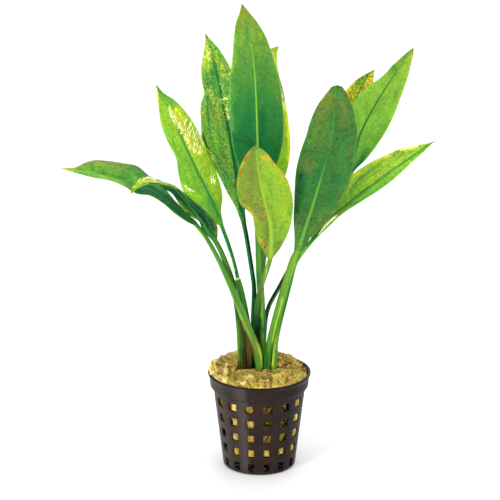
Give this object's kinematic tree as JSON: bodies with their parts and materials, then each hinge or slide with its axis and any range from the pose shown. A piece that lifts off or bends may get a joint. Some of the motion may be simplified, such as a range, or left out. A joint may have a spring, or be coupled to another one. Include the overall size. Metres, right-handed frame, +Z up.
{
  "type": "potted amazon sword plant",
  "caption": "Rosette of lance-shaped green leaves on long stalks, rooted in a mineral-wool plug inside a small tapered lattice pot.",
  "frame": {"origin": "centre of the pot's underside, where it stands", "axes": "+Z up along the pot's axis; -Y towards the plant's front, where the small front leaf leans; +X to the right seen from the front"},
  "size_m": [0.181, 0.0993, 0.2428],
  "materials": {
    "pot": "dark grey-brown moulded plastic, satin",
    "wool": "tan mineral-wool fibres with brown patches and cream flakes",
    "crown": "dark brown rhizome",
    "leaf_tall_centre": "matte mid-green underside with a pale raised midrib and an olive tip",
    "leaf_left_centre": "mid-green with cream flecks and a dark sunken midrib",
    "leaf_left": "bright yellow-green with cream flecks along its right half",
    "leaf_back_centre": "pale yellow with cream and brown specks on one edge",
    "leaf_front_small": "half olive with brown spots, half yellow-green, orange-yellow margins",
    "leaf_right_front": "dark green underside with fine brown mottling and a light midrib",
    "leaf_right_spotted": "yellow-olive with dense dark brown dots",
    "leaf_right_long": "smooth bright green with a thin dark midrib",
    "leaf_right_low": "yellow-green with a cream upper edge",
    "leaf_far_left": "mid-green, darker in its lower half",
    "leaf_arching": "dark green underside, cream and yellow-green on the crest",
    "cut_leaf_stalk": "green stalk with a pale cut top"
  },
  "bodies": {
    "root": {"net_pot": "pot", "rock_wool_plug": "wool", "crown": "crown", "leaf_tall_centre": "leaf_tall_centre", "leaf_left_centre": "leaf_left_centre", "leaf_left": "leaf_left", "leaf_back_centre": "leaf_back_centre", "leaf_front_small": "leaf_front_small", "leaf_right_front": "leaf_right_front", "leaf_right_spotted": "leaf_right_spotted", "leaf_right_long": "leaf_right_long", "leaf_right_low": "leaf_right_low", "leaf_far_left": "leaf_far_left", "leaf_arching": "leaf_arching", "cut_leaf_stalk": "cut_leaf_stalk"}
  },
  "joints": []
}
